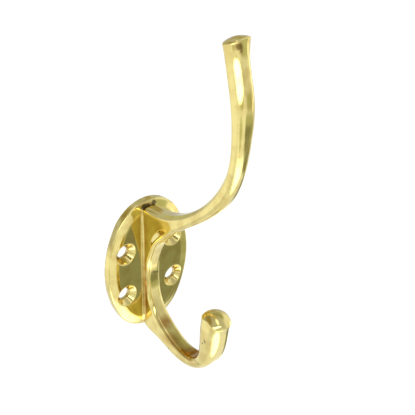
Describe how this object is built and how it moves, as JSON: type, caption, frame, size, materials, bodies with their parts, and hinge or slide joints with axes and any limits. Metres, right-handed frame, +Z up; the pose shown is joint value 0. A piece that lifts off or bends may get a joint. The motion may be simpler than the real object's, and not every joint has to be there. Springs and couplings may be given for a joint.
{
  "type": "hat and coat hook",
  "caption": "Cast brass hat and coat hook: an oval screw-on back plate, a central rib, a tall swept upper arm and a short upturned lower hook.",
  "frame": {"origin": "middle of the oval plate's flat back face, which lies on the wall", "axes": "+X across the hook, +Y into the wall, +Z up along the upper arm"},
  "size_m": [0.0362, 0.054, 0.1342],
  "materials": {
    "polished_brass": "polished"
  },
  "bodies": {
    "root": {"hook_casting": "polished_brass"}
  },
  "joints": []
}
